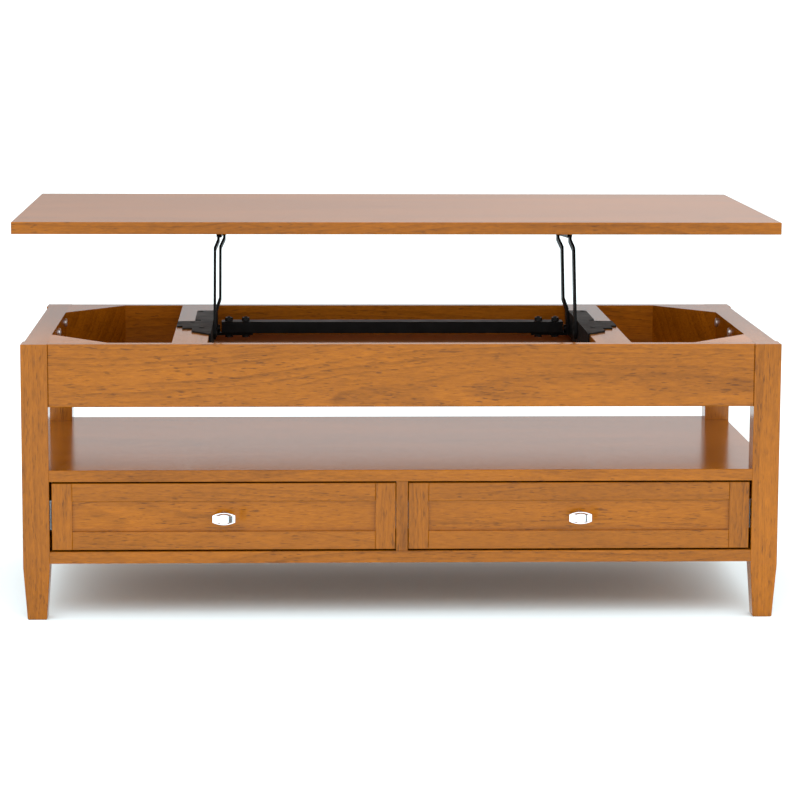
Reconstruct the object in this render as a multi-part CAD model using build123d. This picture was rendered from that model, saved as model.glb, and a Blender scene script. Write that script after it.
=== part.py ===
from build123d import *
import os
from math import cos, radians, sin

# Lift top coffee table, modelled with its top raised.
# +X is to the right of someone facing the drawers, +Y is away from them, +Z is up.
# Pieces are drawn with Y measured from the front faces of the legs.
# write() then moves them, so that the origin is on the floor, under the middle of the
# whole object's box.

# ---------------------------------------------------------------- driving dimensions (mm)
top_length = 1219.2
top_depth = 609.6
top_thickness = 19.3
top_underside = 578.5  # height of the raised top's lower face
top_front = 190.0  # the raised top's front edge, behind the leg fronts
top_edge_round = 1.4

half_width = 581.0  # middle of the table to the outer faces of the legs
frame_depth = 554.0
leg_size = 41.0
leg_height = 427.5
foot_size = 30.0
taper_height = 83.0
leg_edge_round = 1.6
foot_bevel = 1.5
top_bevel = 0.8

apron_bottom = 331.0
apron_thickness = 20.0
apron_setback = 2.0  # aprons behind the leg fronts
side_apron = (542.5, 578.5)  # across the thickness of a side apron
joint_bevel = 1.2  # bevels that make a fine line at each joint
block_run_x = 93.0
block_run_y = 104.0
rail = (298.0, 352.0)  # across a mechanism rail
rail_bottom = 385.0
wall_thickness = 15.0
floor_thickness = 6.0
floor_height = 339.0  # underside of the side bays' floors
tray_height = 372.0  # underside of the centre bay's tray
groove = 5.0  # how far a floor panel enters the boards round it

bolt_places = (137.0, 277.0, 417.0)
bolt_height = 412.0
rail_bolt_head = (7.5, 3.0)  # radius and height
rail_bolt_shank = (3.0, 22.0)  # radius and length
rail_bolt_round = 2.4

shelf_z = (215.5, 233.5)
bottom_z = (88.5, 107.0)
board_half_width = 576.6
board_front = 1.0
board_round = 1.5
case_panel = 16.0
partition = 9.0  # half its thickness
partition_bevel = 0.6
case_inner = 540.0  # middle of the table to the faces that carry the outer slides
spacer_thickness = 20.0
spacer_half_height = 30.0

drawer_x = (10.0, 536.4)
drawer_z = (109.5, 213.0)
drawer_front = 3.0
drawer_front_thickness = 20.0
stile_width = 31.0
drawer_rail_height = 28.2
panel_setback = 5.0
panel_thickness = 6.0
panel_tongue = 6.0
drawer_front_bevel = 0.8
box_wall = 12.0
box_length = 440.0
box_z = (119.0, 201.0)
box_bottom = (6.0, 11.0)  # underside and top of the thin bottom, above the box's lower edge
slide_space = 12.9  # between a drawer side and the face beside it
slide_length = 400.0
slide_start = 25.0
slide_middle_z = 160.0
slide_sheet = 1.2
# half height, web position and reach of each member, measured from the fixed face
slide_fixed = (22.5, 0.0, 9.0)
slide_middle = (18.5, 5.4, 10.5)
slide_inner = (14.5, 11.7, 7.5)

knob_width = 34.5
knob_reach = 25.0
# Each section has upright ends and a bowed top and bottom: its distance from the tip, its
# share of the knob's width, and half its height at its ends and in the middle.
knob_back = ((13.0, 0.72, 3.7, 7.7), (6.0, 1.0, 5.3, 9.3))
knob_rim = 2.5
knob_crown = ((3.5, 0.84, 5.0, 8.6), (0.0, 0.42, 5.4, 7.0))
knob_neck = 5.0  # radius
knob_collar = (7.5, 2.0)  # radius and length
knob_screw = 2.5  # radius
knob_screw_head = (4.5, 2.5)  # radius and length
knob_screw_spare = 0.5  # end of the head beyond the front of the box

arm_length = 165.0
arm_width = 20.0
arm_thickness = 4.0
lean = 18.8  # degrees that the raised arms lean back
front_pivot = (290.0, 409.3)  # Y and Z of the lower pivots
rear_pivot = (426.0, 401.3)
# distance along the arm and distance of its middle plane from the middle of the table
front_arm_path = ((-11.0, 292.6), (140.0, 292.6), (154.0, 287.0), (176.0, 287.0))
rear_arm_path = (
    (-11.0, 292.6), (32.0, 292.6), (50.5, 286.6), (138.0, 286.6), (153.0, 280.0), (176.0, 280.0)
)
arm_bend = 6.0
pin_radius = 4.0
running_gap = 0.05
plate_gap = 0.3
hinge_span = (200.0, 400.0)  # drilled through in X, clear of every hinge plate
screw_radius = 2.0
screw_clearance = 2.3  # radius of the holes for wood screws in metal plates
screw_length = 16.0
base_web = (295.0, 298.0)
base_sheet = 2.5
# the web's lower outline in Y and Z
base_web_shape = ((117.0, 410.0), (255.0, 401.0), (283.0, 389.0), (438.0, 389.0))
base_web_round = 6.0
flange_round = 2.0
flange_rear_round = 8.0
base_screw_head = (4.3, 1.0)  # radius and height
base_screw_round = 0.6
front_rivet_head = (6.0, 1.2)  # radius and height
rear_rivet_head = (6.5, 3.5)
base_outline = (
    (298, 117), (326, 152), (326, 190), (342, 190), (342, 220), (351.5, 220),
    (351.5, 283), (315, 290), (315, 300), (324.5, 305), (324.5, 436), (298, 436)
)
base_screw_places = ((317.5, 425.0), (328.0, 273.0), (311.5, 200.0))
bracket_web = (282.3, 284.7)
bracket_flange_in = 256.0
bracket_flange_ends = (22.0, 18.0)  # before the front lid pivot and behind the rear one
bracket_flange_round = 5.0
bracket_sheet = 2.5
bracket_lug = 5.6  # metal round a lid pivot, from its centre
bracket_web_ends = (12.0, 9.0)  # before the front lid pivot and behind the rear one
bracket_slope = 4.0  # how far the web's ends slope inwards
lid_screw_head = (4.2, 2.0)  # radius and height
lid_screw_round = 1.2
lid_screw_ends = (12.0, 8.0)  # first screw before the front pivot, last behind the rear one
lid_screw_steps = 3
lid_rivet_head = (4.8, 1.0)  # radius and height
stop_radius = 3.0
stop_along = 15.0
stop_proud = 0.7

bar_half_length = 284.0
bar_depth = 36.0
bar_height = 19.0
bar_rise = 3.0  # middle of the bar above the rear pivots
bar_wall = 1.5
bar_corner = 2.0
tab_end = 232.0
tab_corner = 3.0
bar_bolt_places = (244.0, 272.0)
bar_bolt_radius = 3.0
bar_bolt_hole = 3.5  # radius
bar_bolt_head = 4.0  # height
bar_bolt_tip = 7.6  # above the bar
bar_bolt_bevel = 1.0
nut_width = 11.0
nut_height = 4.8
washer_face = (6.5, 1.0)  # radius and height

bumper_radius = 5.0
bumper_thickness = 3.7
bumper_round = 1.2
top_corner_round = 2.0
top_lower_round = 1.0

# ---------------------------------------------------------------- worked-out sizes
leg_inner = half_width - leg_size
apron_front_y = (apron_setback, apron_setback + apron_thickness)
apron_back_y = (frame_depth - apron_front_y[1], frame_depth - apron_setback)
bay_y = (apron_front_y[1], apron_back_y[0])
side_y = (leg_size, frame_depth - leg_size)
floor_top = floor_height + floor_thickness
tray_z = (tray_height, tray_height + floor_thickness)
wall_x = (rail[1] - wall_thickness, rail[1])
back_y = (frame_depth - apron_front_y[1], frame_depth - apron_front_y[1] + case_panel)
bar_z = rear_pivot[1] + bar_rise
drawer_face = (drawer_front, drawer_front + drawer_front_thickness)
box_y = (drawer_face[1], drawer_face[1] + box_length)
panel_y = (drawer_front + panel_setback, drawer_front + panel_setback + panel_thickness)
lean_rise = arm_length * cos(radians(lean))
lean_shift = arm_length * sin(radians(lean))
front_lid_pivot = (front_pivot[0] + lean_shift, front_pivot[1] + lean_rise)
rear_lid_pivot = (rear_pivot[0] + lean_shift, rear_pivot[1] + lean_rise)
# The closed arms reach forward as far as the centred top needs.
closed_front = (frame_depth - top_depth) / 2
closing_travel = top_front - closed_front
reach_front = knob_reach - drawer_front
front_y = (reach_front - top_front - top_depth) / 2


# ---------------------------------------------------------------- helpers
def block(x, y, z):
    """A box between the two values given along each axis."""
    size = [high - low for low, high in (x, y, z)]
    middle = [(low + high) / 2 for low, high in (x, y, z)]
    return Pos(*middle) * Box(*size)


def rod_x(x, y, z, radius):
    """A round bar along X."""
    return Pos((x[0] + x[1]) / 2, y, z) * Rot(0, 90, 0) * Cylinder(radius, x[1] - x[0])


def rod_y(x, y, z, radius):
    """A round bar along Y."""
    return Pos(x, (y[0] + y[1]) / 2, z) * Rot(90, 0, 0) * Cylinder(radius, y[1] - y[0])


def rod_z(x, y, z, radius):
    """A round bar along Z."""
    return Pos(x, y, (z[0] + z[1]) / 2) * Cylinder(radius, z[1] - z[0])


def sheet_x(outline, x):
    """A flat plate across X, from its outline in Y and Z."""
    face = make_face(Plane.YZ.offset(x[0]) * Polyline(*outline, close=True))
    return extrude(face, x[1] - x[0], dir=(1, 0, 0))


def sheet_z(outline, z):
    """A flat plate across Z, from its outline in X and Y."""
    face = make_face(Pos(0, 0, z[0]) * Polyline(*outline, close=True))
    return extrude(face, z[1] - z[0], dir=(0, 0, 1))


def flip(shape):
    """The same shape on the left side of the table."""
    return mirror(shape, Plane.YZ)


def turn_round(shape):
    """The same shape at the back of the table instead of the front."""
    return mirror(shape, Plane.XZ.offset(-frame_depth / 2))


def eased(shape, radius, axis=None):
    """Round the edges along one axis, or all of them."""
    edges = shape.edges().filter_by(axis) if axis else shape.edges()
    return fillet(edges, radius)


def bevel_face(shape, axis, end, size):
    """Bevel the edges of the last face along an axis."""
    face = shape.faces().sort_by(axis)[end]
    return chamfer(face.edges(), size)


def write(name, *shapes):
    """Save one named sub-part, moved to the table's origin."""
    solids = [solid for shape in shapes for solid in (Pos(0, front_y, 0) * shape).solids()]
    whole = solids[0] if len(solids) == 1 else Compound(solids)
    export_step(whole, f"parts/{name}.step")


# ---------------------------------------------------------------- frame
def leg():
    """The front right leg: a square post whose foot tapers on all four sides."""
    centre = half_width - leg_size / 2
    widths = (
        (0, foot_size - 2 * foot_bevel),
        (foot_bevel, foot_size),
        (taper_height, leg_size),
        (leg_height - top_bevel, leg_size),
        (leg_height, leg_size - 2 * top_bevel),
    )
    sections = [
        Pos(centre, leg_size / 2, z) * RectangleRounded(width, width, leg_edge_round)
        for z, width in widths
    ]
    return loft(sections, ruled=True)


def apron_front():
    """A long apron board, bevelled where it meets the legs, grooved for the floors."""
    board = block((-leg_inner, leg_inner), apron_front_y, (apron_bottom, leg_height))
    board = bevel_face(board, Axis.Y, 0, joint_bevel)
    inside = (apron_front_y[1] - groove, apron_front_y[1])
    slot = block((wall_x[1] - groove * 2, leg_inner), inside, (floor_height, floor_top))
    tray = tray_x()
    return board - slot - flip(slot) - block(tray, inside, tray_z)


def tray_x():
    """How far the centre tray reaches to each side, into the bay walls."""
    return (-wall_x[0] - groove, wall_x[0] + groove)


def apron_side():
    """The right side apron, grooved for the bay's floor."""
    board = block(side_apron, side_y, (apron_bottom, leg_height))
    board = bevel_face(board, Axis.X, -1, joint_bevel)
    slot = block((side_apron[0], side_apron[0] + groove), side_y, (floor_height, floor_top))
    return board - slot


def corner_block():
    """The triangular block in the front right corner, cut round the leg."""
    outer = side_apron[0]
    near = bay_y[0]
    outline = ((outer, near), (outer, near + block_run_y), (outer - block_run_x, near))
    whole = sheet_z(outline, (floor_top, leg_height))
    post = block((leg_inner, half_width), (0, leg_size), (0, leg_height + 1))
    return whole - post


def mechanism_rail():
    """The right rail, drilled for the hinge screws."""
    board = block(rail, bay_y, (rail_bottom, leg_height))
    for x, y in base_screw_places:
        board -= rod_z(x, y, (leg_height - screw_length, leg_height), screw_radius + running_gap)
    return board


def bay_wall():
    """The wall under the right rail, with grooves for the tray and the side floor."""
    board = block(wall_x, bay_y, (apron_bottom, rail_bottom))
    board -= block((wall_x[0], wall_x[0] + groove), bay_y, tray_z)
    return board - block((wall_x[1] - groove, wall_x[1]), bay_y, (floor_height, floor_top))


def bay_floor():
    """The floor of the right side bay, set in its grooves and cut round the legs."""
    x = (wall_x[1] - groove, side_apron[0] + groove)
    y = (bay_y[0] - groove, bay_y[1] + groove)
    sheet = block(x, y, (floor_height, floor_top))
    for post in (leg(), turn_round(leg())):
        middle = post.bounding_box().center()
        reach = leg_size / 2
        across = (middle.X - reach, middle.X + reach)
        along = (middle.Y - reach, middle.Y + reach)
        sheet -= block(across, along, (floor_height - 1, floor_top + 1))
    return sheet


def centre_tray():
    """The raised floor of the middle bay."""
    y = (bay_y[0] - groove, bay_y[1] + groove)
    return block(tray_x(), y, tray_z)


def rail_bolt(y):
    """A dome-headed bolt in the right side apron's inner face."""
    face = side_apron[0]
    radius, height = rail_bolt_head
    head = rod_x((face - height, face), y, bolt_height, radius)
    head = fillet(head.edges().sort_by(Axis.X)[0], rail_bolt_round)
    radius, length = rail_bolt_shank
    return head + rod_x((face, face + length), y, bolt_height, radius)


def drilled_side_apron():
    """The right side apron with a blind hole for each bolt."""
    board = apron_side()
    face = side_apron[0]
    radius, length = rail_bolt_shank
    for y in bolt_places:
        board -= rod_x((face, face + length), y, bolt_height, radius + running_gap)
    return board


def wide_board(z):
    """A full-size board, notched round the four legs."""
    y = (board_front, frame_depth - board_front)
    board = block((-board_half_width, board_half_width), y, z)
    for x in ((-half_width - 1, -leg_inner), (leg_inner, half_width + 1)):
        for side in ((-1, leg_size), (frame_depth - leg_size, frame_depth + 1)):
            board -= block(x, side, (z[0] - 1, z[1] + 1))
    ends = board.edges().filter_by(Axis.X).filter_by(lambda edge: edge.length > leg_inner)
    return fillet(ends, board_round)


def case_side():
    """The right end panel of the drawer case, set between the legs."""
    x = (case_inner + spacer_thickness, case_inner + spacer_thickness + case_panel)
    return block(x, side_y, (bottom_z[1], shelf_z[0]))


def slide_spacer():
    """The strip that brings the outer slide level with the leg's inner face."""
    height = (slide_middle_z - spacer_half_height, slide_middle_z + spacer_half_height)
    return block((case_inner, case_inner + spacer_thickness), side_y, height)


def case_back():
    """The closed back of the drawer case."""
    return block((-leg_inner, leg_inner), back_y, (bottom_z[1], shelf_z[0]))


def centre_partition():
    """The upright between the two drawers."""
    board = block((-partition, partition), (drawer_front, back_y[0]), (bottom_z[1], shelf_z[0]))
    front = board.faces().sort_by(Axis.Y)[0]
    return chamfer(front.edges().filter_by(Axis.Z), partition_bevel)


# ---------------------------------------------------------------- drawers
def slide_member(sizes, flange_to, wall, side):
    """One channel of a drawer slide beside a face at wall, open towards side."""
    half_height, web, reach = sizes
    length = (slide_start, slide_start + slide_length)

    def across(low, high):
        return tuple(sorted((wall + side * low, wall + side * high)))

    z = slide_middle_z
    channel = block(across(web, web + slide_sheet), length, (z - half_height, z + half_height))
    lip = across(min(web, reach, flange_to), max(web + slide_sheet, reach, flange_to))
    for edge in (z - half_height, z + half_height - slide_sheet):
        channel += block(lip, length, (edge, edge + slide_sheet))
    return channel


def slide_pair(sizes, flange_to):
    """The same slide member on both sides of the right drawer."""
    inner = slide_member(sizes, flange_to, partition, 1)
    outer = slide_member(sizes, flange_to, case_inner, -1)
    return [inner, outer]


def drawer_stiles():
    """The two upright boards of a drawer front, grooved for the panel."""
    low = drawer_z[0] + drawer_rail_height - panel_tongue
    high = drawer_z[1] - drawer_rail_height + panel_tongue
    left, right = drawer_x
    pieces = []
    for x, slot in (
        ((left, left + stile_width), (left + stile_width - panel_tongue, left + stile_width)),
        ((right - stile_width, right), (right - stile_width, right - stile_width + panel_tongue)),
    ):
        stile = bevel_face(block(x, drawer_face, drawer_z), Axis.Y, 0, drawer_front_bevel)
        pieces.append(stile - block(slot, panel_y, (low, high)))
    return pieces


def drawer_rails():
    """The top and bottom boards of a drawer front, grooved for the panel."""
    x = (drawer_x[0] + stile_width, drawer_x[1] - stile_width)
    low = drawer_z[0] + drawer_rail_height
    high = drawer_z[1] - drawer_rail_height
    pieces = []
    for z, slot in (
        ((drawer_z[0], low), (low - panel_tongue, low)),
        ((high, drawer_z[1]), (high, high + panel_tongue)),
    ):
        board = bevel_face(block(x, drawer_face, z), Axis.Y, 0, drawer_front_bevel)
        pieces.append(board - block(x, panel_y, slot))
    return pieces


def drawer_panel():
    """The flat panel, with its tongues in the stiles and rails."""
    x = (drawer_x[0] + stile_width - panel_tongue, drawer_x[1] - stile_width + panel_tongue)
    reach = drawer_rail_height - panel_tongue
    sheet = block(x, panel_y, (drawer_z[0] + reach, drawer_z[1] - reach))
    return sheet - rod_y(knob_x(), (panel_y[0] - 1, panel_y[1] + 1), knob_z(), knob_screw + running_gap)


def knob_x():
    """Middle of the right drawer."""
    return sum(drawer_x) / 2


def knob_z():
    """Middle of a drawer's height."""
    return sum(drawer_z) / 2


def box_x():
    """Outer faces of the drawer box."""
    return (partition + slide_space, case_inner - slide_space)


def drawer_bottom():
    """The thin bottom, in grooves all round."""
    x = (box_x()[0] + box_wall - groove, box_x()[1] - box_wall + groove)
    y = (box_y[0] + box_wall - groove, box_y[1] - box_wall + groove)
    return block(x, y, (box_z[0] + box_bottom[0], box_z[0] + box_bottom[1]))


def drawer_sides():
    """The two long sides of the drawer box."""
    low, high = box_x()
    sides = [
        block((low, low + box_wall), box_y, box_z), block((high - box_wall, high), box_y, box_z)
    ]
    return [side - drawer_bottom() for side in sides]


def drawer_ends():
    """The front and back of the drawer box, between its sides."""
    x = (box_x()[0] + box_wall, box_x()[1] - box_wall)
    near, far = box_y
    ends = [block(x, (near, near + box_wall), box_z), block(x, (far - box_wall, far), box_z)]
    hole = rod_y(knob_x(), (near - 1, near + box_wall + 1), knob_z(), knob_screw + running_gap)
    return [ends[0] - drawer_bottom() - hole, ends[1] - drawer_bottom()]


def knob_section(from_tip, share, end, middle):
    """One long barrel-shaped section of the knob, facing forwards."""
    half = knob_width / 2 * share
    outline = Curve([
        ThreePointArc((-half, end), (0, middle), (half, end)),
        Line((half, end), (half, -end)),
        ThreePointArc((half, -end), (0, -middle), (-half, -end)),
        Line((-half, -end), (-half, end)),
    ])
    tip = drawer_front - knob_reach
    plane = Plane((knob_x(), tip + from_tip, knob_z()), x_dir=(1, 0, 0), z_dir=(0, -1, 0))
    return make_face(plane * outline)


def knob():
    """A faceted knob: a long barrel shape on a round neck, with its screw."""
    x, z = knob_x(), knob_z()
    face = panel_y[0]
    back = loft([knob_section(*size) for size in knob_back])
    rim = extrude(knob_section(*knob_back[-1]), knob_rim, dir=(0, -1, 0))
    crown = loft([knob_section(*size) for size in knob_crown])
    neck = rod_y(x, (drawer_front - knob_reach + knob_back[0][0], face), z, knob_neck)
    radius, length = knob_collar
    collar = rod_y(x, (face - length, face), z, radius)
    radius, length = knob_screw_head
    box_face = drawer_face[1] + box_wall
    screw = rod_y(x, (face, box_face + length), z, knob_screw)
    head = rod_y(x, (box_face + knob_screw_spare, box_face + knob_screw_spare + length), z, radius)
    return back + rim + crown + neck + collar + screw + head


# ---------------------------------------------------------------- lift mechanism
def arm(path, pivot):
    """A flat lift arm with its joggles, leaning back from its lower pivot."""
    half = arm_thickness / 2
    outer = FilletPolyline(*[(x + half, along) for along, x in path], radius=arm_bend)
    inner = FilletPolyline(*[(x - half, along) for along, x in path], radius=arm_bend)
    first, last = path[0], path[-1]
    ends = [
        Line((first[1] - half, first[0]), (first[1] + half, first[0])),
        Line((last[1] - half, last[0]), (last[1] + half, last[0])),
    ]
    side = make_face(Plane.XZ * Curve([outer, inner, *ends]))
    strip = extrude(side, arm_width / 2, both=True)
    # Round ends about both pivots.
    slot = Rot(0, 0, 90) * SlotCenterToCenter(arm_length, arm_width)
    shape = extrude(Plane.YZ * Pos(0, arm_length / 2) * slot, hinge_span[1])
    bar = strip & shape
    for along in (0, arm_length):
        bar -= rod_x(hinge_span, 0, along, pin_radius + running_gap)
    return Pos(0, *pivot) * Rot(-lean, 0, 0) * bar


def front_arm():
    """The right front arm."""
    return arm(front_arm_path, front_pivot)


def tab_z():
    """Top and bottom of the tab that carries the cross bar."""
    top = bar_z - bar_height / 2
    return (top - arm_thickness, top)


def rear_arm():
    """The right rear arm, with a foot bent inwards under the cross bar."""
    y, z = rear_pivot
    half = arm_thickness / 2
    plane = rear_arm_path[0][1]
    across = (y - arm_width / 2, y + arm_width / 2)
    foot = block((plane - half, plane + half), across, (tab_z()[0], z))
    foot -= rod_x(hinge_span, y, z, pin_radius + running_gap)
    tab = block((tab_end, plane + half), across, tab_z())
    tab = fillet(tab.edges().filter_by(Axis.Z).group_by(Axis.X)[0], tab_corner)
    for x in bar_bolt_places:
        tab -= rod_z(x, y, (tab_z()[0] - 1, tab_z()[1] + 1), bar_bolt_hole)
    return arm(rear_arm_path, rear_pivot) + foot + tab


def cross_bar():
    """The rectangular tube that ties the two rear arms."""
    y = rear_pivot[0]
    outer = Box(2 * bar_half_length, bar_depth, bar_height)
    outer = eased(outer, bar_corner, Axis.X)
    inner = Box(2 * bar_half_length + 2, bar_depth - 2 * bar_wall, bar_height - 2 * bar_wall)
    tube = Pos(0, y, bar_z) * (outer - inner)
    through = (bar_z - bar_height, bar_z + bar_height)
    for x in bar_bolt_places:
        tube -= rod_z(x, y, through, bar_bolt_hole)
        tube -= rod_z(-x, y, through, bar_bolt_hole)
    return tube


def hexagon_nut(x, y, z):
    """A hexagon block between two heights."""
    shape = Pos(x, y, z[0]) * RegularPolygon(nut_width / 2, 6, major_radius=False)
    return extrude(shape, z[1] - z[0], dir=(0, 0, 1))


def bar_bolt(x):
    """A bolt up through the tab and the tube, with a rounded tip above its nut."""
    y = rear_pivot[0]
    head_top = tab_z()[0]
    head = hexagon_nut(x, y, (head_top - bar_bolt_head, head_top))
    tip = bar_z + bar_height / 2 + bar_bolt_tip
    shank = rod_z(x, y, (head_top, tip), bar_bolt_radius)
    shank = chamfer(shank.edges().sort_by(Axis.Z)[-1], bar_bolt_bevel)
    return head + shank


def bar_nut(x):
    """A nut with its round washer face."""
    y = rear_pivot[0]
    low = bar_z + bar_height / 2
    radius, rise = washer_face
    high = low + rise + nut_height
    nut = rod_z(x, y, (low, low + rise), radius) + hexagon_nut(x, y, (low + rise, high))
    return nut - rod_z(x, y, (low - 1, high + 1), bar_bolt_radius + running_gap)


def stop_place():
    """Centre of the pin that the raised front arm leans on."""
    away = arm_width / 2 + stop_radius + plate_gap
    along_y, along_z = sin(radians(lean)), cos(radians(lean))
    y = front_pivot[0] + stop_along * along_y + away * along_z
    z = front_pivot[1] + stop_along * along_z - away * along_y
    return (y, z)


def lift_base():
    """The right base plate: a stepped flange on the rail and a web that hangs beside it."""
    top = leg_height + base_sheet
    start, end = base_web_shape[0][0], base_web_shape[-1][0]
    web = sheet_x(((start, top), *base_web_shape, (end, top)), base_web)
    lower = web.edges().filter_by(Axis.X).filter_by(lambda edge: edge.center().Z < leg_height)
    web = fillet(lower, base_web_round)
    flange = sheet_z(base_outline, (leg_height, top))

    def corners():
        """The flange's corners on the rail, from front to back."""
        upright = flange.edges().filter_by(Axis.Z).sort_by(Axis.Y)
        return upright.filter_by(lambda edge: edge.center().X > rail[0] + 1)

    flange = fillet(corners()[:-1], flange_round)
    flange = fillet(corners()[-1], flange_rear_round)
    plate = web + flange
    for y, z in (front_pivot, rear_pivot):
        plate -= rod_x(hinge_span, y, z, pin_radius + running_gap)
    plate -= rod_x(hinge_span, *stop_place(), stop_radius + running_gap)
    for x, y in base_screw_places:
        plate -= rod_z(x, y, (leg_height - 1, top + 1), screw_clearance)
    return plate


def base_screw(x, y):
    """A low round-headed wood screw through the flange."""
    top = leg_height + base_sheet
    radius, height = base_screw_head
    head = rod_z(x, y, (top, top + height), radius)
    head = fillet(head.edges().sort_by(Axis.Z)[-1], base_screw_round)
    return head + rod_z(x, y, (leg_height - screw_length + 1, top), screw_radius)


def base_pins():
    """The two lower pivot rivets and the stop pin of the right base plate."""
    head_face = front_arm_path[0][1] - arm_thickness / 2 - plate_gap
    outer = base_web[1]
    pins = []
    for place, (radius, height) in ((front_pivot, front_rivet_head), (rear_pivot, rear_rivet_head)):
        pin = rod_x((head_face, outer), *place, pin_radius)
        pins.append(pin + rod_x((head_face - height, head_face), *place, radius))
    return pins + [rod_x((head_face - stop_proud, outer), *stop_place(), stop_radius)]


def lid_bracket():
    """The right bracket under the top: a flange on the wood and a web with two lugs."""
    low, high = top_underside - bracket_sheet, top_underside
    (front, front_z), (rear, rear_z) = front_lid_pivot, rear_lid_pivot
    before, behind = bracket_web_ends
    outline = (
        (front - before, high), (front - before + bracket_slope, front_z),
        (front, front_z - bracket_lug), (rear, rear_z - bracket_lug),
        (rear + behind, rear_z), (rear + behind, high)
    )
    web = sheet_x(outline, bracket_web)
    before, behind = bracket_flange_ends
    along = (front - before, rear + behind)
    flange = block((bracket_flange_in, bracket_web[1]), along, (low, high))
    flange = fillet(flange.edges().filter_by(Axis.Z).group_by(Axis.X)[0], bracket_flange_round)
    plate = web + flange
    for y, z in (front_lid_pivot, rear_lid_pivot):
        plate -= rod_x(hinge_span, y, z, pin_radius + running_gap)
    for x, y in lid_screw_places():
        plate -= rod_z(x, y, (low - 1, high + 1), screw_clearance)
    return plate


def lid_screw_places():
    """Screws along the middle of the right bracket's flange."""
    x = (bracket_flange_in + bracket_web[0]) / 2 - bracket_sheet
    before, behind = lid_screw_ends
    start, end = front_lid_pivot[0] - before, rear_lid_pivot[0] + behind
    steps = lid_screw_steps
    return [(x, start + (end - start) * step / steps) for step in range(steps + 1)]


def lid_screw(x, y):
    """A round-headed wood screw up through the flange."""
    face = top_underside - bracket_sheet
    radius, height = lid_screw_head
    head = rod_z(x, y, (face - height, face), radius)
    head = fillet(head.edges().sort_by(Axis.Z)[0], lid_screw_round)
    return head + rod_z(x, y, (face, face + screw_length), screw_radius)


def lid_pivot_pins():
    """The two upper pivot rivets of the right side."""
    reach = arm_thickness / 2 + plate_gap
    radius, height = lid_rivet_head
    face = front_arm_path[-1][1] + reach
    front = rod_x((bracket_web[0], face), *front_lid_pivot, pin_radius)
    front += rod_x((face, face + height), *front_lid_pivot, radius)
    face = rear_arm_path[-1][1] - reach
    rear = rod_x((face, bracket_web[1]), *rear_lid_pivot, pin_radius)
    rear += rod_x((face - height, face), *rear_lid_pivot, radius)
    return [front, rear]


def lid_panel():
    """The table top, with eased edges and pilot holes underneath."""
    y = (top_front, top_front + top_depth)
    z = (top_underside, top_underside + top_thickness)
    panel = block((-top_length / 2, top_length / 2), y, z)
    panel = eased(panel, top_corner_round, Axis.Z)
    panel = fillet(panel.faces().sort_by(Axis.Z)[-1].edges(), top_edge_round)
    panel = fillet(panel.faces().sort_by(Axis.Z)[0].edges(), top_lower_round)
    depth = screw_length - bracket_sheet
    for x, y in lid_screw_places():
        for side in (x, -x):
            panel -= rod_z(side, y, (z[0], z[0] + depth), screw_radius + running_gap)
    return panel


def lid_bumper(x, y):
    """A soft pad that meets a leg's top when the lid is down."""
    pad = rod_z(x, y, (top_underside - bumper_thickness, top_underside), bumper_radius)
    return fillet(pad.edges().sort_by(Axis.Z)[0], bumper_round)


# ---------------------------------------------------------------- write every sub-part
os.makedirs("parts", exist_ok=True)

write("leg_front_right", leg())
write("leg_front_left", flip(leg()))
write("leg_back_right", turn_round(leg()))
write("leg_back_left", flip(turn_round(leg())))
write("apron_front", apron_front())
write("apron_back", turn_round(apron_front()))
write("apron_right", drilled_side_apron())
write("apron_left", flip(drilled_side_apron()))

near_block = corner_block()
far_block = turn_round(near_block)
write("corner_blocks", near_block, far_block, flip(near_block), flip(far_block))
write("mechanism_rail_right", mechanism_rail())
write("mechanism_rail_left", flip(mechanism_rail()))
write("bay_walls", bay_wall(), flip(bay_wall()))
write("bay_floors", bay_floor(), flip(bay_floor()))
write("centre_tray", centre_tray())
side_bolts = [rail_bolt(y) for y in bolt_places]
write("rail_bolts", *side_bolts, *[flip(bolt) for bolt in side_bolts])

write("shelf", wide_board(shelf_z))
write("bottom_board", wide_board(bottom_z))
write("case_sides", case_side(), flip(case_side()))
write("case_back", case_back())
write("centre_partition", centre_partition())
write("slide_spacers", slide_spacer(), flip(slide_spacer()))

drawer_pieces = {
    "slide_rails": slide_pair(slide_fixed, 0.0),
    "slide_middle": slide_pair(slide_middle, 2.5),
    "drawer_slides": slide_pair(slide_inner, 7.5),
    "drawer_stiles": drawer_stiles(),
    "drawer_rails": drawer_rails(),
    "drawer_panel": [drawer_panel()],
    "drawer_sides": drawer_sides(),
    "drawer_ends": drawer_ends(),
    "drawer_bottom": [drawer_bottom()],
    "knob": [knob()],
}
for name, pieces in drawer_pieces.items():
    write(f"{name}_right", *pieces)
    write(f"{name}_left", *[flip(piece) for piece in pieces])

write("lid_panel", lid_panel())
for name, piece in (
    ("lift_base", lift_base()),
    ("lid_bracket", lid_bracket()),
    ("front_arm", front_arm()),
    ("rear_arm", rear_arm()),
):
    write(f"{name}_right", piece)
    write(f"{name}_left", flip(piece))

paired_groups = {
    "base_pins": base_pins(),
    "base_screws": [base_screw(*place) for place in base_screw_places],
    "lid_pivot_pins": lid_pivot_pins(),
    "lid_screws": [lid_screw(*place) for place in lid_screw_places()],
    "bar_bolts": [bar_bolt(x) for x in bar_bolt_places],
    "bar_nuts": [bar_nut(x) for x in bar_bolt_places],
    "lid_bumpers": [
        lid_bumper(half_width - leg_size / 2, y + closing_travel)
        for y in (leg_size / 2, frame_depth - leg_size / 2)
    ],
}
for name, pieces in paired_groups.items():
    write(name, *pieces, *[flip(piece) for piece in pieces])
write("cross_bar", cross_bar())

print("origin is", round(-front_y, 2), "mm behind the leg fronts")
print("front lid pivot", front_lid_pivot, "rear lid pivot", rear_lid_pivot)
print("top moves forward", closing_travel, "mm when it closes")
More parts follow.
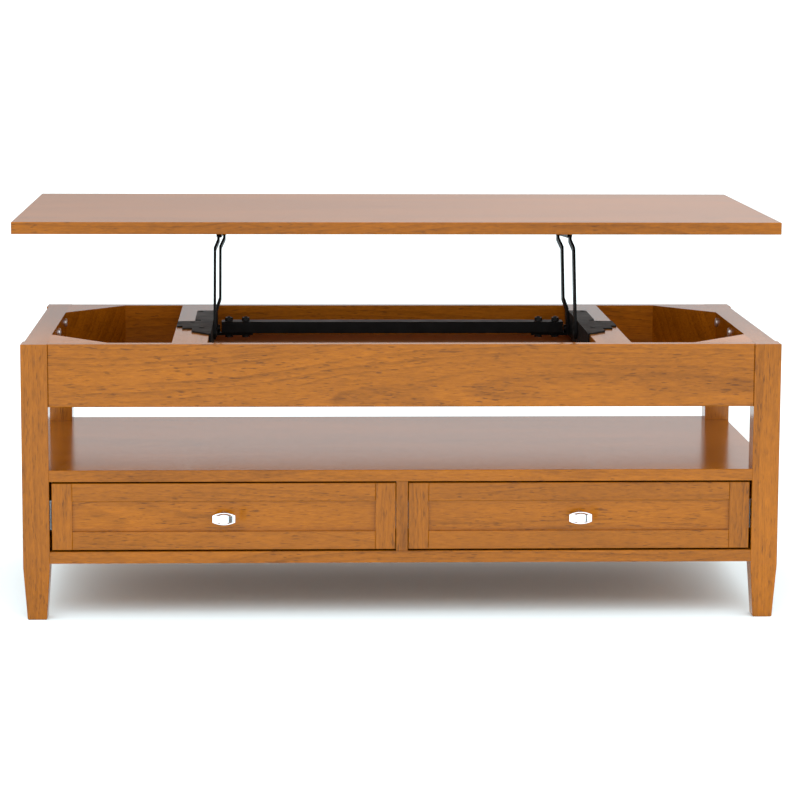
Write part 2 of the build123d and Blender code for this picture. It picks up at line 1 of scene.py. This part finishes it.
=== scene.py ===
"""The looks of a lift top coffee table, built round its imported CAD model."""

import math

import bpy
from mathutils import Euler, Matrix, Vector


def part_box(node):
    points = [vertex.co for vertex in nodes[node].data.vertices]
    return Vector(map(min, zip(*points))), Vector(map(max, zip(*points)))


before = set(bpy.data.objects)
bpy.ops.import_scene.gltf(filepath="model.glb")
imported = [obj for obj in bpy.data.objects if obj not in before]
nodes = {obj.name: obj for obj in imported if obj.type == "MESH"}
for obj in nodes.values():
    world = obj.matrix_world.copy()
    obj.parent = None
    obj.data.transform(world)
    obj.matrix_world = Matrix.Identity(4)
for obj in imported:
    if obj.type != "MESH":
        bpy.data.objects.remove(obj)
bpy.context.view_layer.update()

LEG_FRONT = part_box("leg_front_left")[0].y  # Y of the plane through the front of the legs
MM = 0.001
USUAL = (0.3, 0.7)  # most of a noise's values lie between these


# ---------------------------------------------------------------- node helpers
def feed(tree, socket, value):
    """Links a socket's value to another socket, or sets a fixed value on it."""
    if isinstance(value, bpy.types.NodeSocket):
        tree.links.new(value, socket)
    else:
        socket.default_value = value


class Tree:
    """Builds one material's node tree."""

    def __init__(self, name):
        self.material = bpy.data.materials.new(name)
        self.material.use_nodes = True
        self.tree = self.material.node_tree
        self.tree.nodes.clear()

    def add(self, kind, *values, **properties):
        """Adds a node with these properties. Values fill its inputs in order."""
        node = self.tree.nodes.new("ShaderNode" + kind)
        for key, value in properties.items():
            setattr(node, key, value)
        for socket, value in zip(node.inputs, values):
            feed(self.tree, socket, value)
        return node

    def place(self):
        """The place of each point of the object, in metres."""
        return self.add("TexCoord").outputs["Object"]

    def math(self, operation, *values, clamp=False):
        """A Math node's result."""
        return self.add("Math", *values, operation=operation, use_clamp=clamp).outputs[0]

    def vector(self, operation, *values):
        """A Vector Math node's result, as a vector."""
        return self.add("VectorMath", *values, operation=operation).outputs[0]

    def noise(self, vector, scale=1.0, detail=2.0, roughness=0.5):
        """The value of a 3-D noise."""
        node = self.add("TexNoise", vector)
        node.inputs["Scale"].default_value = scale
        node.inputs["Detail"].default_value = detail
        node.inputs["Roughness"].default_value = roughness
        return node.outputs[0]

    def spread(self, value, low, high, to_low=0.0, to_high=1.0):
        """Maps a value's range to another one, and clamps it."""
        return self.add("MapRange", value, low, high, to_low, to_high).outputs[0]

    def mix(self, amount, first, second, blend="MIX"):
        """A colour mix."""
        node = self.add("Mix", amount, data_type="RGBA", blend_type=blend)
        colours = [socket for socket in node.inputs if socket.type == "RGBA"]
        feed(self.tree, colours[0], first)
        feed(self.tree, colours[1], second)
        return [socket for socket in node.outputs if socket.type == "RGBA"][0]

    def bump(self, height, distance, strength):
        """The normal of a surface that stands up by height times distance, in metres."""
        node = self.add("Bump")
        node.inputs["Strength"].default_value = strength
        node.inputs["Distance"].default_value = distance
        self.tree.links.new(height, node.inputs["Height"])
        return node.outputs[0]

    def shader(self, colour, roughness, normal=None, **fixed):
        """The Principled shader and the output. Fixed values are set on its own sockets."""
        node = self.tree.nodes.new("ShaderNodeBsdfPrincipled")
        feed(self.tree, node.inputs["Base Color"], colour)
        feed(self.tree, node.inputs["Roughness"], roughness)
        if normal:
            feed(self.tree, node.inputs["Normal"], normal)
        for name, value in fixed.items():
            node.inputs[name.replace("_", " ")].default_value = value
        output = self.tree.nodes.new("ShaderNodeOutputMaterial")
        self.tree.links.new(node.outputs[0], output.inputs[0])
        return self.material


def rgb(red, green, blue):
    """A linear colour from display values out of 255."""
    def linear(value):
        value /= 255
        return value / 12.92 if value <= 0.04045 else ((value + 0.055) / 1.055) ** 2.4

    return (linear(red), linear(green), linear(blue), 1.0)


def dress(material, *names):
    """Gives a material to CAD nodes."""
    for name in names:
        slots = nodes[name].data.materials
        slots.clear()
        slots.append(material)


# ---------------------------------------------------------------- wood
GRAIN_TURN = {
    "X": (0, 0, 0),
    "Y": (0, 0, -math.pi / 2),
    "Z": (0, math.pi / 2, 0),
}

# Each wood's light tone, then its dark one.
HONEY = (rgb(168, 98, 14), rgb(110, 61, 6))
# The panel tones are paler than the honey wood as painted light: they stand in for the sheen on the
# centre tray, and the bay floors share them.
PANEL_WITH_PAINTED_SHEEN = (rgb(178, 116, 70), rgb(136, 84, 50))
RAW = (rgb(214, 178, 128), rgb(184, 140, 90))
PORE = rgb(74, 40, 10)
LACQUER_IOR = 1.33

SEED_SHIFT = (1.37, 0.173, 0.291)  # metres for each 1 of a seed
PITH = (0.09, 0.16)  # metres from a board's pith to the object's origin, across the grain
NOISE_MIDDLE = (0.5, 0.5, 0.5)

# The pith line's waves: how many come per metre, along and across, and how far they swing.
WAVES = (((0.9, 1.5, 1.5), 0.17), ((4.0, 9.0, 9.0), 0.022))
RINGS_PER_METRE = 85.0
UNEVEN_PER_METRE = 60.0
UNEVEN_RINGS = 2.4
RING_CURVE = 3.0  # how late in a ring its dark wood comes
RING_EDGE = 0.12  # the share of a ring over which its dark line fades
RING_EDGE_DEPTH = 0.9
RING_IN_PATCH = (0.25, 1.0)  # how strong the rings are, from patch to patch

# How fast each feature of the grain changes per metre, along the board and across it.
BROAD = (1.6, 11.0, 11.0)
PATCH = (5.0, 40.0, 40.0)
STREAK = (42.0, 260.0, 260.0)
FIBRE = (90.0, 700.0, 700.0)
PORES = (62.0, 520.0, 520.0)

# The range of noise over which a feature goes from none to full.
PATCH_RANGE = (0.35, 0.65)
STREAK_RANGE = (0.33, 0.68)
PORE_RANGE = (0.62, 0.72)
PORE_IN_PATCH = (0.3, 0.75)  # how dark the pores are, from patch to patch

# How far each feature takes the colour from the light tone to the dark one.
RING_DEPTH = 0.42
BROAD_DEPTH = 0.34
STREAK_DEPTH = 0.34

FIBRE_CONTRAST = 0.16  # how much fibres brighten and darken the colour
FIBRE_RELIEF = 0.5  # the height of fibres, where a pore's depth is 1
GRAIN_RELIEF = 0.06 * MM
LACQUER_ROUGHNESS = 0.17
SMOOTHER, ROUGHER = 0.03, 0.05  # how far the fibres change the roughness


def wood(name, grain, seed, tones, pith=PITH, painted_light=1.0, rough=LACQUER_ROUGHNESS):
    """Stained wood under lacquer. Growth rings run round a pith line beside the board,
    along the grain axis; fibres and short dark pores lie along it too. A board's light
    factor is painted light and shade: it makes the board lighter or darker than its tones,
    to stand in for light the lamps give it too little or too much of."""
    t = Tree(name)
    board = t.add("Mapping", t.place())
    board.inputs["Rotation"].default_value = GRAIN_TURN[grain]
    lying = board.outputs[0]
    along = t.vector("ADD", lying, tuple(seed * step for step in SEED_SHIFT))

    # The pith line wanders, so the rings make long slanting waves on the board's faces.
    bent = t.vector("ADD", lying, (0.0, *pith))
    for pace, swing in WAVES:
        wave = t.add("TexNoise", t.vector("MULTIPLY", along, pace))
        wave.inputs["Scale"].default_value = 1.0
        wave.inputs["Detail"].default_value = 1.0
        push = t.vector("SUBTRACT", wave.outputs["Color"], NOISE_MIDDLE)
        bent = t.vector("ADD", bent, t.vector("MULTIPLY", push, (0.0, swing, swing)))
    across = t.vector("MULTIPLY", bent, (0.0, 1.0, 1.0))
    radius = t.add("VectorMath", across, operation="LENGTH").outputs["Value"]
    uneven = t.add("TexNoise", noise_dimensions="1D")
    t.tree.links.new(radius, uneven.inputs["W"])
    uneven.inputs["Scale"].default_value = UNEVEN_PER_METRE
    uneven.inputs["Detail"].default_value = 1.0
    rings = t.math("MULTIPLY", radius, RINGS_PER_METRE)
    rings = t.math("ADD", rings, t.math("MULTIPLY", uneven.outputs[0], UNEVEN_RINGS))
    age = t.math("FRACT", rings)
    edge = t.math("MULTIPLY", t.spread(age, 0.0, RING_EDGE, 1.0, 0.0), RING_EDGE_DEPTH)
    ring = t.math("MAXIMUM", t.math("POWER", age, RING_CURVE), edge)

    def grown(pace, detail=2.0, roughness=0.5):
        return t.noise(t.vector("MULTIPLY", along, pace), detail=detail, roughness=roughness)

    broad = t.spread(grown(BROAD, roughness=0.6), *USUAL)
    patch = t.spread(grown(PATCH), *PATCH_RANGE)
    streak = t.spread(grown(STREAK, detail=3.0, roughness=0.7), *STREAK_RANGE)
    fibre = grown(FIBRE, detail=3.0, roughness=0.7)
    pore = t.spread(grown(PORES, detail=1.0), *PORE_RANGE)

    light, dark = tones
    ring = t.math("MULTIPLY", ring, t.spread(patch, 0, 1, *RING_IN_PATCH))
    tone = t.math("MULTIPLY", ring, RING_DEPTH)
    tone = t.math("ADD", tone, t.math("MULTIPLY", broad, BROAD_DEPTH))
    tone = t.math("ADD", tone, t.math("MULTIPLY", streak, STREAK_DEPTH), clamp=True)
    colour = t.mix(tone, light, dark)
    # The board's factor of painted light and shade scales its colour here, along with the fibres.
    bright, dim = painted_light * (1 + FIBRE_CONTRAST), painted_light * (1 - FIBRE_CONTRAST)
    fine = t.spread(fibre, 0.25, 0.75, bright, dim)
    colour = t.mix(1.0, colour, t.add("CombineColor", fine, fine, fine).outputs[0], "MULTIPLY")
    pore_depth = t.math("MULTIPLY", pore, t.spread(patch, 0, 1, *PORE_IN_PATCH))
    colour = t.mix(pore_depth, colour, PORE)

    sheen = t.spread(fibre, 0.2, 0.8, rough - SMOOTHER, rough + ROUGHER)
    height = t.math("SUBTRACT", t.math("MULTIPLY", fibre, FIBRE_RELIEF), pore)
    normal = t.bump(height, distance=GRAIN_RELIEF, strength=0.25)
    return t.shader(colour, sheen, normal, IOR=LACQUER_IOR)


# Each board's node, its grain axis, its pith line, and, where it isn't 1, a factor of painted light
# and shade:
# above 1 for the back and inner boards and the right front leg, below 1 for the left front boards
# and the drawer rails.
BOARDS = (
    ("leg_front_left", "Z", (0.05, 0.62), 0.95),
    ("leg_front_right", "Z", (0.07, -0.60), 1.02),
    ("leg_back_left", "Z", (0.04, 0.58), 1.12),
    ("leg_back_right", "Z", (0.06, -0.66), 1.12),
    ("apron_front", "X", (0.43, -0.34)),
    ("apron_back", "X", (-0.20, -0.36), 1.25),
    ("apron_left", "Y", (0.10, -0.30)),
    ("apron_right", "Y", (0.12, -0.30)),
    ("corner_blocks", "X", (0.20, -0.50), 1.3),
    ("mechanism_rail_left", "Y", (0.10, -0.30)),
    ("mechanism_rail_right", "Y", (0.10, -0.28)),
    ("bay_walls", "Y", (0.10, -0.50)),
    ("shelf", "X", (0.10, -0.33)),
    ("bottom_board", "X", (0.44, -0.05)),
    ("case_sides", "Y", (0.10, -0.25)),
    ("case_back", "X", (-0.10, -0.25)),
    ("centre_partition", "Z", (0.10, 0.10)),
    ("drawer_stiles_left", "Z", (0.40, 0.20), 0.96),
    ("drawer_stiles_right", "Z", (0.44, -0.20)),
    ("drawer_rails_left", "X", (0.42, -0.10), 0.88),
    ("drawer_rails_right", "X", (0.45, -0.11), 0.94),
    ("drawer_panel_left", "X", (0.43, -0.14), 0.97),
    ("drawer_panel_right", "X", (0.46, -0.15)),
    ("lid_panel", "X", (0.10, -0.50)),
)
BOARD_SEED, BOARD_SEED_STEP = 3.1, 2.7
VENEER_SEED, VENEER_SEED_STEP = 71.0, 3.0
RAW_Y_SEED, RAW_X_SEED = 91.0, 97.0
VENEER_ROUGHNESS = 0.38
RAW_ROUGHNESS = 0.5

for number, (name, grain, pith, *painted_light) in enumerate(BOARDS):
    seed = BOARD_SEED + BOARD_SEED_STEP * number
    dress(wood("wood_" + name, grain, seed, HONEY, pith, *painted_light), name)

# The bay floors and the centre tray take the paler panel tones, a painted sheen.
for number, name in enumerate(("bay_floors", "centre_tray")):
    seed = VENEER_SEED + VENEER_SEED_STEP * number
    dress(wood("veneer_" + name, "X", seed, PANEL_WITH_PAINTED_SHEEN, rough=VENEER_ROUGHNESS), name)

raw_box = wood("clear_wood_y", "Y", RAW_Y_SEED, RAW, rough=RAW_ROUGHNESS)
raw_end = wood("clear_wood_x", "X", RAW_X_SEED, RAW, rough=RAW_ROUGHNESS)
dress(raw_box, "drawer_sides_left", "drawer_sides_right", "slide_spacers")
dress(raw_end, "drawer_ends_left", "drawer_ends_right", "drawer_bottom_left", "drawer_bottom_right")


# ---------------------------------------------------------------- metals and rubber
PAINT_IOR = 1.17
OXIDE_IOR = 1.3
WORN = 0.5  # how much bare metal shows on the edges of blackened steel
EVEN_MARKS = (90.0, 90.0, 90.0)  # per metre along each axis
ROLLED_MARKS = (500.0, 4.0, 500.0)  # drawn out along Y


def black_paint():
    """Satin black powder coat: a fine orange peel, with rubbed lighter spots."""
    t = Tree("black_powder_coat")
    place = t.place()
    peel = t.noise(place, scale=900.0)
    cloud = t.noise(place, scale=38.0, detail=4.0, roughness=0.6)
    colour = t.mix(t.spread(cloud, 0.35, 0.75), rgb(12, 12, 12), rgb(22, 22, 22))
    rough = t.spread(cloud, *USUAL, 0.42, 0.54)
    normal = t.bump(peel, distance=0.06 * MM, strength=0.5)
    return t.shader(colour, rough, normal, IOR=PAINT_IOR)


def oxide_and_painted_shade():
    """Blackened steel of screws, pins and bolts, rubbed on the edges. Its near-black tones are
    darker than the powder coat as painted shade, so the screw heads read like shaded holes.
    """
    t = Tree("oxide_and_painted_shade")
    grime = t.noise(t.place(), scale=420.0, detail=3.0)
    edge = t.add("NewGeometry").outputs["Pointiness"]
    worn = t.spread(edge, 0.52, 0.62)
    # Painted shade: both tones are near black, darker than the powder coat, so small heads read as
    # shaded holes.
    colour = t.mix(t.spread(grime, *USUAL), rgb(3, 3, 4), rgb(9, 9, 10))
    colour = t.mix(t.math("MULTIPLY", worn, WORN), colour, rgb(46, 45, 44))
    rough = t.spread(grime, *USUAL, 0.36, 0.5)
    normal = t.bump(grime, distance=0.04 * MM, strength=0.4)
    return t.shader(colour, rough, normal, IOR=OXIDE_IOR)


def plated(name, light, dark, rough, pace=EVEN_MARKS):
    """Plated metal with faint marks and clouding."""
    t = Tree(name)
    place = t.place()
    marks = t.noise(t.vector("MULTIPLY", place, pace), detail=3.0)
    cloud = t.noise(place, scale=22.0, detail=3.0)
    colour = t.mix(t.spread(cloud, *USUAL), light, dark)
    normal = t.bump(marks, distance=0.02 * MM, strength=0.3)
    return t.shader(colour, t.spread(marks, *USUAL, *rough), normal, Metallic=1.0)


def rubber():
    """Soft matt rubber with a dusty bloom."""
    t = Tree("bumper_rubber")
    place = t.place()
    grit = t.noise(place, scale=1200.0)
    bloom = t.noise(place, scale=120.0, detail=3.0)
    colour = t.mix(t.spread(bloom, 0.35, 0.7), rgb(34, 32, 30), rgb(58, 55, 51))
    rough = t.spread(grit, *USUAL, 0.7, 0.85)
    return t.shader(colour, rough, t.bump(grit, distance=0.06 * MM, strength=0.5))


dress(
    black_paint(), "lift_base_left", "lift_base_right", "rear_arm_left", "rear_arm_right",
    "cross_bar", "lid_bracket_left", "lid_bracket_right", "front_arm_left", "front_arm_right"
)
dress(
    oxide_and_painted_shade(), "base_pins", "base_screws", "bar_bolts", "bar_nuts", "lid_pivot_pins",
    "lid_screws"
)
zinc = plated("bright_zinc", rgb(226, 226, 230), rgb(204, 204, 210), rough=(0.34, 0.5))
dress(zinc, "rail_bolts")
rolled = plated(
    "slide_steel", rgb(186, 190, 194), rgb(150, 154, 160), rough=(0.22, 0.42), pace=ROLLED_MARKS
)
dress(
    rolled, "slide_rails_left", "slide_rails_right", "slide_middle_left", "slide_middle_right",
    "drawer_slides_left", "drawer_slides_right"
)
nickel = plated("polished_nickel", rgb(246, 246, 248), rgb(232, 232, 236), rough=(0.03, 0.09))
dress(nickel, "knob_left", "knob_right")
dress(rubber(), "lid_bumpers")


# ---------------------------------------------------------------- stage, light and camera
SQUARE = ((-1, -1), (1, -1), (1, 1), (-1, 1))
FLOOR_REACH = 150.0
FLOOR_TONES = ((0.82, 0.92, 0.95, 1), (0.84, 0.94, 0.97, 1))

CARD_WAY = (0.78, -0.60, -0.18)  # from a knob to its card: right, forward and a little down
CARD_REACH = 36 * MM
CARD_SIZE = 19 * MM
CARD_TONES = (rgb(136, 158, 166), rgb(170, 190, 198))

# The strength of the white surroundings, by direction.
FRONT = 1.75
ABOVE = 1.6
BEHIND_LOW_LEFT = 0.31
BEHIND_LOW_RIGHT = 0.60
BEHIND_HIGHER = 1.04
# Where one strength turns into the next, as parts of a direction of length 1.
LEFT_TO_RIGHT = (-0.12, 0.2)
LOW_TO_HIGHER = (0.07, 0.20)
FRONT_TO_BEHIND = (-0.8, 0.8)
LEVEL_TO_ABOVE = (0.0, 0.8)

SHELF_LAMP_ABOVE = 90 * MM
SHELF_LAMP_SIZE = (1.0, 0.44)
SHELF_LAMP_WATTS = 0.75
SHELF_LAMP_COLOUR = (1.0, 0.95, 0.92)
FLOOR_LAMP_PLACE = (0, -3.2, 3.0)
FLOOR_LAMP_TARGET = (0, -0.3, 0)
FLOOR_LAMP_SIZE = (4.0, 2.4)
FLOOR_LAMP_WATTS = 100
FLOOR_LAMP_COLOUR = (0.92, 1.0, 1.05)

LENS = 131.7  # in mm, for a sensor 36 mm wide
SENSOR = 36.0
LOOK_DOWN = 8.24  # degrees, as are the next two
LOOK_RIGHT = 2.35
ROLL = 0.25
CAMERA_X = -0.1855
CAMERA_FORWARD = 4.42  # from the front of the legs
CAMERA_HEIGHT = 0.9825


def plate(name, corners, material):
    """A flat four-cornered piece of the stage."""
    mesh = bpy.data.meshes.new(name)
    mesh.from_pydata(corners, [], [(0, 1, 2, 3)])
    mesh.materials.append(material)
    piece = bpy.data.objects.new(name, mesh)
    bpy.context.scene.collection.objects.link(piece)
    return piece


def floor():
    """A wide pale floor."""
    t = Tree("studio_floor")
    soft = t.noise(t.place(), scale=0.8)
    colour = t.mix(t.spread(soft, *USUAL), *FLOOR_TONES)
    material = t.shader(colour, roughness=0.6, Specular_IOR_Level=0.1)
    corners = [(x * FLOOR_REACH, y * FLOOR_REACH, 0) for x, y in SQUARE]
    piece = plate("floor", corners, material)
    return piece


def knob_card(name):
    """A small grey card in front of a knob, to its right. Only reflections show it."""
    low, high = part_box(name)
    middle = Vector(((low.x + high.x) / 2, low.y, (low.z + high.z) / 2))
    away = Vector(CARD_WAY).normalized()
    across = away.cross(Vector((0, 0, 1))).normalized()
    top = across.cross(away)
    half = CARD_SIZE / 2
    centre = middle + away * CARD_REACH
    corners = [tuple(centre + across * (x * half) + top * (y * half)) for x, y in SQUARE]
    t = Tree("card_" + name)
    grey = t.noise(t.place(), scale=30.0)
    material = t.shader(t.mix(grey, *CARD_TONES), roughness=0.9)
    card = plate("card_" + name, corners, material)
    card.visible_camera = False
    card.visible_diffuse = False
    card.visible_shadow = False


def soft_light(name, place, target, size, power, colour):
    """A wide lamp that faces a target and is not seen itself, not even in the lacquer."""
    light = bpy.data.lights.new(name, "AREA")
    light.shape = "RECTANGLE"
    light.size, light.size_y = size
    light.energy = power
    light.color = colour
    lamp = bpy.data.objects.new(name, light)
    lamp.location = place
    aim = Vector(target) - Vector(place)
    lamp.rotation_euler = aim.to_track_quat("-Z", "Y").to_euler()
    lamp.visible_camera = False
    lamp.visible_glossy = False
    bpy.context.scene.collection.objects.link(lamp)
    return lamp


def studio_light():
    """A white room, brightest in front. Behind, it is dimmer low down than higher up, and
    dimmest there on the left."""
    world = bpy.data.worlds.new("studio")
    world.use_nodes = True
    tree = world.node_tree
    white = tree.nodes["Background"]
    seen = tree.nodes.new("ShaderNodeTexCoord")
    split = tree.nodes.new("ShaderNodeSeparateXYZ")
    tree.links.new(seen.outputs["Generated"], split.inputs[0])
    across, away, up = split.outputs

    def ramp(source, low, high, to_low, to_high):
        node = tree.nodes.new("ShaderNodeMapRange")
        node.interpolation_type = "SMOOTHSTEP"
        for socket, value in zip(node.inputs, (source, low, high, to_low, to_high)):
            feed(tree, socket, value)
        return node.outputs[0]

    behind_low = ramp(across, *LEFT_TO_RIGHT, BEHIND_LOW_LEFT, BEHIND_LOW_RIGHT)
    behind = ramp(up, *LOW_TO_HIGHER, behind_low, BEHIND_HIGHER)
    around = ramp(away, *FRONT_TO_BEHIND, FRONT, behind)
    strength = ramp(up, *LEVEL_TO_ABOVE, around, ABOVE)
    tree.links.new(strength, white.inputs["Strength"])
    white.inputs["Color"].default_value = (1.0, 1.0, 1.0, 1.0)
    bpy.context.scene.world = world


def shelf_light():
    """A weak lamp close over the shelf, a little smaller than it."""
    low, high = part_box("shelf")
    middle = (low + high) / 2
    soft_light(
        "shelf_fill", (0, middle.y, high.z + SHELF_LAMP_ABOVE), (0, middle.y, 0),
        SHELF_LAMP_SIZE, SHELF_LAMP_WATTS, SHELF_LAMP_COLOUR
    )


def floor_light(ground):
    """A wide lamp that lights the floor alone, and so makes the table's shadow paler."""
    lamp = soft_light(
        "floor_wash", FLOOR_LAMP_PLACE, FLOOR_LAMP_TARGET,
        FLOOR_LAMP_SIZE, FLOOR_LAMP_WATTS, FLOOR_LAMP_COLOUR
    )
    floor_only = bpy.data.collections.new("floor_only")
    floor_only.objects.link(ground)
    lamp.light_linking.receiver_collection = floor_only


def photo_camera():
    """A camera in front of the table, a little to the left, that looks slightly down."""
    camera = bpy.data.cameras.new("camera")
    camera.lens = LENS
    camera.sensor_width = SENSOR
    holder = bpy.data.objects.new("camera", camera)
    turn = Euler((math.radians(90 - LOOK_DOWN), 0, math.radians(-LOOK_RIGHT))).to_matrix()
    turn = turn @ Matrix.Rotation(math.radians(ROLL), 3, "Z")
    holder.rotation_euler = turn.to_euler()
    holder.location = (CAMERA_X, LEG_FRONT - CAMERA_FORWARD, CAMERA_HEIGHT)
    bpy.context.scene.collection.objects.link(holder)
    return holder


ground = floor()
studio_light()
knob_card("knob_left")
knob_card("knob_right")
shelf_light()
floor_light(ground)
bpy.context.scene.camera = photo_camera()
bpy.context.scene.view_settings.view_transform = "Standard"
